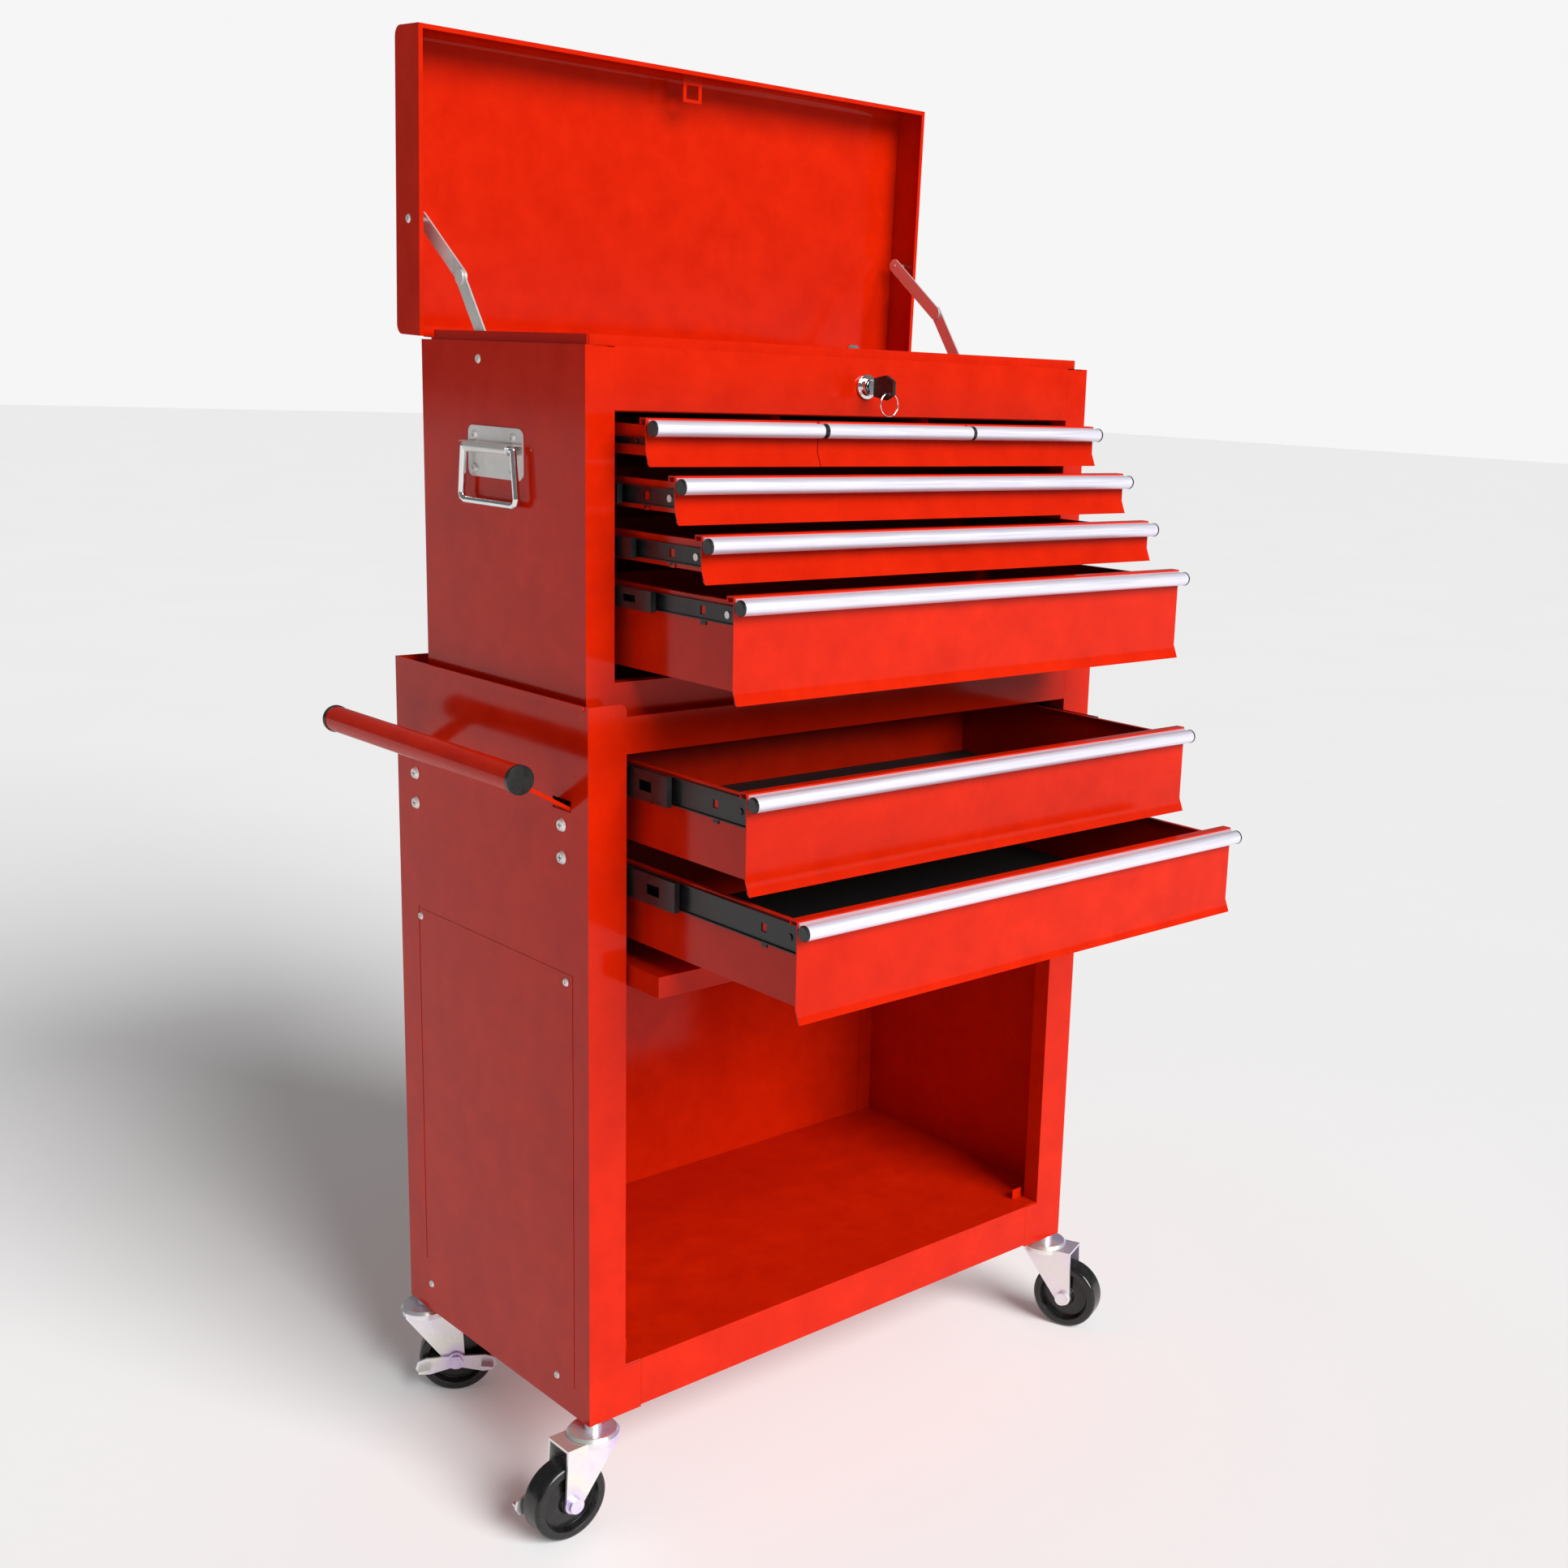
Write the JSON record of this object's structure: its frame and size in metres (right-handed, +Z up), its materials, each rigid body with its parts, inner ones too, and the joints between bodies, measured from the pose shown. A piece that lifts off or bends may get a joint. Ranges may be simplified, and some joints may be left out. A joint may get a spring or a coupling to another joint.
{
  "type": "rolling tool chest",
  "caption": "Two-piece steel tool chest on swivel casters, with a hinged lid, sliding drawers and an open lower compartment with a slide-in door.",
  "frame": {"origin": "on the floor, at the middle of the whole object's footprint with the drawers open as built", "axes": "+Z up; the drawers open towards -Y; +X to the right of somebody facing the drawers"},
  "size_m": [0.7138, 0.5792, 1.3116],
  "materials": {
    "red_paint": "glossy stoved enamel",
    "slide_black": "black zinc",
    "zinc": "iridescent yellow-violet passivate",
    "chrome": "polished",
    "pull_aluminium": "brushed and anodised",
    "black_plastic": "moulded",
    "wheel_rubber": "moulded hard rubber"
  },
  "bodies": {
    "cabinet": {"cab_side_left": "red_paint", "cab_side_right": "red_paint", "cab_back": "red_paint", "cab_floor": "red_paint", "cab_top": "red_paint", "cab_runners": "slide_black", "cab_fasteners": "zinc", "push_handle": "red_paint", "caster_stems": "zinc"},
    "chest": {"chest_wrap": "red_paint", "chest_bottom": "red_paint", "chest_front_panel": "red_paint", "chest_till": "red_paint", "chest_runners": "slide_black", "chest_hinge": "red_paint", "chest_fasteners": "zinc", "carry_plates": "zinc", "lock_barrel": "chrome"},
    "lid": {"lid_pan": "red_paint", "lid_hinge": "red_paint"},
    "stay_lower": {"stay_lower_links": "zinc"},
    "stay_upper": {"stay_upper_links": "zinc"},
    "bail_left": {"carry_bail_left": "chrome"},
    "bail_right": {"carry_bail_right": "chrome"},
    "lock": {"lock_plug": "chrome"},
    "key": {"key": "black_plastic"},
    "ring": {"key_ring": "chrome"},
    "door": {"door_panel": "red_paint"},
    "door_carriage": {"door_rollers": "zinc"},
    "small_drawer_1": {"small_tray_1": "red_paint", "small_pull_1": "pull_aluminium"},
    "small_drawer_2": {"small_tray_2": "red_paint", "small_pull_2": "pull_aluminium"},
    "small_drawer_3": {"small_tray_3": "red_paint", "small_pull_3": "pull_aluminium"},
    "upper_drawer_1": {"upper_tray_1": "red_paint", "upper_pull_1": "pull_aluminium"},
    "upper_slide_1": {"upper_slides_1": "slide_black"},
    "upper_drawer_2": {"upper_tray_2": "red_paint", "upper_pull_2": "pull_aluminium"},
    "upper_slide_2": {"upper_slides_2": "slide_black"},
    "upper_drawer_3": {"upper_tray_3": "red_paint", "upper_pull_3": "pull_aluminium"},
    "upper_slide_3": {"upper_slides_3": "slide_black"},
    "lower_drawer_1": {"lower_tray_1": "red_paint", "lower_pull_1": "pull_aluminium"},
    "lower_slide_1": {"lower_slides_1": "slide_black"},
    "lower_drawer_2": {"lower_tray_2": "red_paint", "lower_pull_2": "pull_aluminium"},
    "lower_slide_2": {"lower_slides_2": "slide_black"},
    "caster_1": {"fork_1": "zinc"},
    "wheel_1": {"wheel_1": "wheel_rubber"},
    "caster_2": {"fork_2": "zinc"},
    "wheel_2": {"wheel_2": "wheel_rubber"},
    "caster_3": {"fork_3": "zinc"},
    "wheel_3": {"wheel_3": "wheel_rubber"},
    "caster_4": {"fork_4": "zinc"},
    "wheel_4": {"wheel_4": "wheel_rubber"},
    "brake_1": {"brake_1": "zinc"},
    "brake_3": {"brake_3": "zinc"}
  },
  "joints": [
    {"name": "lift_chest", "type": "slide", "parent": "cabinet", "child": "chest", "axis": [0, 0, 1], "range_m": [0, 0.12]},
    {"name": "lid_hinge", "type": "hinge", "parent": "chest", "child": "lid", "pos_m": [0.0241, 0.23425, 1.046], "axis": [1, 0, 0], "range_deg": [-2, 88]},
    {"name": "stay_lower_turn", "type": "hinge", "parent": "chest", "child": "stay_lower", "pos_m": [0.0241, 0.13475, 1.031], "axis": [1, 0, 0], "range_deg": [-3.2, 119.27]},
    {"name": "stay_upper_turn", "type": "hinge", "parent": "lid", "child": "stay_upper", "pos_m": [0.0241, 0.25064, 1.14963], "axis": [1, 0, 0], "range_deg": [-107.19, 2.92]},
    {"name": "bail_left_swing", "type": "hinge", "parent": "chest", "child": "bail_left", "pos_m": [-0.28145, 0.10665, 0.957], "axis": [0, 1, 0], "range_deg": [0, 90]},
    {"name": "bail_right_swing", "type": "hinge", "parent": "chest", "child": "bail_right", "pos_m": [0.32965, 0.10665, 0.957], "axis": [0, -1, 0], "range_deg": [0, 90]},
    {"name": "lock_turn", "type": "hinge", "parent": "chest", "child": "lock", "pos_m": [0.0241, -0.03035, 1.021], "axis": [0, 1, 0], "range_deg": [0, 90]},
    {"name": "key_pull", "type": "slide", "parent": "lock", "child": "key", "axis": [0, -1, 0], "range_m": [0, 0.02]},
    {"name": "ring_swing", "type": "hinge", "parent": "key", "child": "ring", "pos_m": [0.0241, -0.06315, 1.0155], "axis": [1, 0, 0], "range_deg": [-20, 12]},
    {"name": "door_slide", "type": "slide", "parent": "cabinet", "child": "door_carriage", "axis": [0, -1, 0], "range_m": [0, 0.288]},
    {"name": "door_swing", "type": "hinge", "parent": "door_carriage", "child": "door", "pos_m": [0.0241, 0.26365, 0.518], "axis": [1, 0, 0], "range_deg": [0, 90]},
    {"name": "small_drawer_1_slide", "type": "slide", "parent": "chest", "child": "small_drawer_1", "axis": [0, -1, 0], "range_m": [-0.042, 0.138]},
    {"name": "small_drawer_2_slide", "type": "slide", "parent": "chest", "child": "small_drawer_2", "axis": [0, -1, 0], "range_m": [-0.041, 0.139]},
    {"name": "small_drawer_3_slide", "type": "slide", "parent": "chest", "child": "small_drawer_3", "axis": [0, -1, 0], "range_m": [-0.039, 0.141]},
    {"name": "upper_drawer_1_slide", "type": "slide", "parent": "chest", "child": "upper_drawer_1", "axis": [0, -1, 0], "range_m": [-0.082, 0.118]},
    {"name": "upper_slide_1_slide", "type": "slide", "parent": "chest", "child": "upper_slide_1", "axis": [0, -1, 0], "range_m": [-0.0415, 0.0595]},
    {"name": "upper_drawer_2_slide", "type": "slide", "parent": "chest", "child": "upper_drawer_2", "axis": [0, -1, 0], "range_m": [-0.118, 0.082]},
    {"name": "upper_slide_2_slide", "type": "slide", "parent": "chest", "child": "upper_slide_2", "axis": [0, -1, 0], "range_m": [-0.0595, 0.0415]},
    {"name": "upper_drawer_3_slide", "type": "slide", "parent": "chest", "child": "upper_drawer_3", "axis": [0, -1, 0], "range_m": [-0.16, 0.04]},
    {"name": "upper_slide_3_slide", "type": "slide", "parent": "chest", "child": "upper_slide_3", "axis": [0, -1, 0], "range_m": [-0.0805, 0.0205]},
    {"name": "lower_drawer_1_slide", "type": "slide", "parent": "cabinet", "child": "lower_drawer_1", "axis": [0, -1, 0], "range_m": [-0.162, 0.088]},
    {"name": "lower_slide_1_slide", "type": "slide", "parent": "cabinet", "child": "lower_slide_1", "axis": [0, -1, 0], "range_m": [-0.0815, 0.0445]},
    {"name": "lower_drawer_2_slide", "type": "slide", "parent": "cabinet", "child": "lower_drawer_2", "axis": [0, -1, 0], "range_m": [-0.227, 0.023]},
    {"name": "lower_slide_2_slide", "type": "slide", "parent": "cabinet", "child": "lower_slide_2", "axis": [0, -1, 0], "range_m": [-0.114, 0.012]},
    {"name": "caster_1_swivel", "type": "hinge", "parent": "cabinet", "child": "caster_1", "pos_m": [-0.2734, -0.03835, 0.091], "axis": [0, 0, 1], "continuous": true},
    {"name": "wheel_1_spin", "type": "hinge", "parent": "caster_1", "child": "wheel_1", "pos_m": [-0.3034, -0.03835, 0.0365], "axis": [0, -1, 0], "continuous": true},
    {"name": "brake_1_rock", "type": "hinge", "parent": "caster_1", "child": "brake_1", "pos_m": [-0.3034, -0.03835, 0.0365], "axis": [0, -1, 0], "range_deg": [-10, 10]},
    {"name": "caster_2_swivel", "type": "hinge", "parent": "cabinet", "child": "caster_2", "pos_m": [0.3216, -0.03835, 0.091], "axis": [0, 0, 1], "continuous": true},
    {"name": "wheel_2_spin", "type": "hinge", "parent": "caster_2", "child": "wheel_2", "pos_m": [0.33284, -0.06617, 0.0365], "axis": [0.9272, 0.3746, 0], "continuous": true},
    {"name": "caster_3_swivel", "type": "hinge", "parent": "cabinet", "child": "caster_3", "pos_m": [-0.2734, 0.26565, 0.091], "axis": [0, 0, 1], "continuous": true},
    {"name": "wheel_3_spin", "type": "hinge", "parent": "caster_3", "child": "wheel_3", "pos_m": [-0.24796, 0.24975, 0.0365], "axis": [0.5299, 0.848, 0], "continuous": true},
    {"name": "brake_3_rock", "type": "hinge", "parent": "caster_3", "child": "brake_3", "pos_m": [-0.24796, 0.24975, 0.0365], "axis": [0.5299, 0.848, 0], "range_deg": [-10, 10]},
    {"name": "caster_4_swivel", "type": "hinge", "parent": "cabinet", "child": "caster_4", "pos_m": [0.3216, 0.26565, 0.091], "axis": [0, 0, 1], "continuous": true},
    {"name": "wheel_4_spin", "type": "hinge", "parent": "caster_4", "child": "wheel_4", "pos_m": [0.31134, 0.23746, 0.0365], "axis": [0.9397, -0.342, 0], "continuous": true}
  ],
  "couplings": [
    {"joint": "stay_lower_turn", "follows": "lid_hinge", "ratio": 1.3497},
    {"joint": "stay_upper_turn", "follows": "lid_hinge", "ratio": -1.2124},
    {"joint": "door_swing", "follows": "door_slide", "rad_per_m": 5.4542},
    {"joint": "upper_slide_1_slide", "follows": "upper_drawer_1_slide", "ratio": 0.5},
    {"joint": "upper_slide_2_slide", "follows": "upper_drawer_2_slide", "ratio": 0.5},
    {"joint": "upper_slide_3_slide", "follows": "upper_drawer_3_slide", "ratio": 0.5},
    {"joint": "lower_slide_1_slide", "follows": "lower_drawer_1_slide", "ratio": 0.5},
    {"joint": "lower_slide_2_slide", "follows": "lower_drawer_2_slide", "ratio": 0.5}
  ]
}
